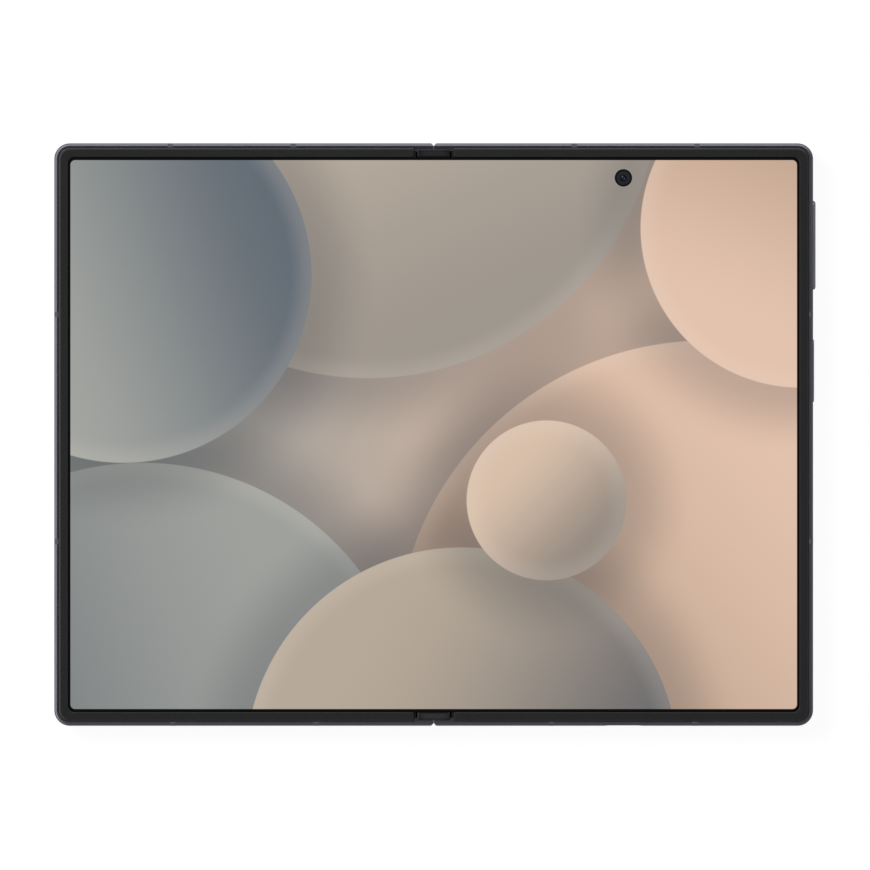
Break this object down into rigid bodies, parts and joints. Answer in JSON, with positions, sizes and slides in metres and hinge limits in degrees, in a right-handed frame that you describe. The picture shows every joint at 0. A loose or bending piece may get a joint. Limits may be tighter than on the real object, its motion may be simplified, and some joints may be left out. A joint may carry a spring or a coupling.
{
  "type": "foldable smartphone",
  "caption": "Foldable phone that opens like a book to one wide inner screen, with a metal frame, a geared hinge and a raised rear camera island.",
  "frame": {"origin": "under the middle of the hinge line, in the plane of the rear lens rings' lowest faces", "axes": "+X across the open phone towards the half with the keys, +Y along the hinge towards the inner camera's end, +Z out of the inner screen"},
  "size_m": [0.1619, 0.1238, 0.0071],
  "materials": {
    "frame_metal": "fine satin anodised",
    "glass_back": "frosted glass",
    "glass_black": "polished glass over black",
    "screen": "flexible screen with a polished film",
    "bezel_plastic": "fine matt",
    "band_plastic": "fine matt",
    "spine_metal": "dark satin",
    "steel": "machined",
    "brass": "machined",
    "battery_wrap": "foil pouch",
    "board": "solder mask",
    "black_plastic": "moulded",
    "lens": "coated lens",
    "flash": "moulded lens",
    "polyimide": "flexible film"
  },
  "bodies": {
    "spine": {"hinge_spine": "spine_metal", "hinge_blocks": "steel", "gear_shafts": "steel", "end_caps": "bezel_plastic", "display_fold_right": "screen", "display_fold_left": "screen", "hinge_flex": "polyimide"},
    "right_half": {"frame_right": "frame_metal", "rear_glass": "glass_back", "bezel_right": "bezel_plastic", "antenna_bands_right": "band_plastic", "display_panel_right": "screen", "display_plate_right": "steel", "hinge_brackets_right": "steel", "bracket_screws_right": "steel", "battery_right": "battery_wrap", "main_board": "board", "board_shields": "steel", "port_board": "board", "charging_port": "steel", "port_tongue": "black_plastic", "loudspeaker": "black_plastic", "camera_island": "frame_metal", "camera_modules": "black_plastic", "camera_windows": "lens", "flash_lens": "flash", "inner_camera": "black_plastic", "key_switches": "steel", "flex_right": "polyimide"},
    "left_half": {"frame_left": "frame_metal", "cover_glass": "glass_black", "cover_display": "black_plastic", "bezel_left": "bezel_plastic", "antenna_bands_left": "band_plastic", "display_panel_left": "screen", "display_plate_left": "steel", "hinge_brackets_left": "steel", "bracket_screws_left": "steel", "battery_left": "battery_wrap", "card_board": "board", "card_socket": "steel", "cover_camera": "black_plastic", "earpiece": "black_plastic", "vibration_motor": "steel", "flex_left": "polyimide"},
    "wing_right": {"wing_plate_right": "steel"},
    "wing_left": {"wing_plate_left": "steel"},
    "sync_arm_right": {"sync_arms_right": "steel"},
    "sync_arm_left": {"sync_arms_left": "steel"},
    "idler_right": {"idler_gears_right": "brass"},
    "idler_left": {"idler_gears_left": "brass"},
    "volume_rocker": {"volume_key": "frame_metal"},
    "side_button": {"side_key": "frame_metal"},
    "tray": {"card_tray": "frame_metal"}
  },
  "joints": [
    {"name": "fold_right", "type": "hinge", "parent": "spine", "child": "right_half", "pos_m": [0.0005, 0, 0.00665], "axis": [0, -1, 0], "range_deg": [0, 90], "deforming": ["display_fold_right", "hinge_flex"]},
    {"name": "fold_left", "type": "hinge", "parent": "spine", "child": "left_half", "pos_m": [-0.0005, 0, 0.00665], "axis": [0, 1, 0], "range_deg": [0, 90], "deforming": ["display_fold_left"]},
    {"name": "wing_swing_right", "type": "hinge", "parent": "right_half", "child": "wing_right", "pos_m": [0.011, 0, 0.00615], "axis": [0, -1, 0], "range_deg": [0, 9]},
    {"name": "wing_swing_left", "type": "hinge", "parent": "left_half", "child": "wing_left", "pos_m": [-0.011, 0, 0.00615], "axis": [0, 1, 0], "range_deg": [0, 9]},
    {"name": "sync_swing_right", "type": "hinge", "parent": "spine", "child": "sync_arm_right", "pos_m": [0.00225, 0, 0.0049], "axis": [0, -1, 0], "range_deg": [0, 90]},
    {"name": "sync_swing_left", "type": "hinge", "parent": "spine", "child": "sync_arm_left", "pos_m": [-0.00225, 0, 0.0049], "axis": [0, 1, 0], "range_deg": [0, 90]},
    {"name": "idler_spin_right", "type": "hinge", "parent": "spine", "child": "idler_right", "pos_m": [0.00075, 0, 0.0049], "axis": [0, 1, 0], "range_deg": [0, 90]},
    {"name": "idler_spin_left", "type": "hinge", "parent": "spine", "child": "idler_left", "pos_m": [-0.00075, 0, 0.0049], "axis": [0, -1, 0], "range_deg": [0, 90]},
    {"name": "volume_rock", "type": "hinge", "parent": "right_half", "child": "volume_rocker", "pos_m": [0.07935, 0.0403, 0.00465], "axis": [0, 0, 1], "range_deg": [-1.2, 1.2], "stiffness_Nm_per_rad": 0.2},
    {"name": "side_press", "type": "slide", "parent": "right_half", "child": "side_button", "axis": [-1, 0, 0], "range_m": [0, 0.00014], "stiffness_N_per_m": 500},
    {"name": "tray_slide", "type": "slide", "parent": "left_half", "child": "tray", "axis": [0, -1, 0], "range_m": [0, 0.017]}
  ],
  "couplings": [
    {"joint": "fold_left", "follows": "fold_right", "ratio": 1},
    {"joint": "wing_swing_right", "follows": "fold_right", "ratio": 0.1},
    {"joint": "wing_swing_left", "follows": "fold_right", "ratio": 0.1},
    {"joint": "sync_swing_right", "follows": "fold_right", "ratio": 1},
    {"joint": "sync_swing_left", "follows": "fold_right", "ratio": 1},
    {"joint": "idler_spin_right", "follows": "fold_right", "ratio": 1},
    {"joint": "idler_spin_left", "follows": "fold_right", "ratio": 1}
  ]
}
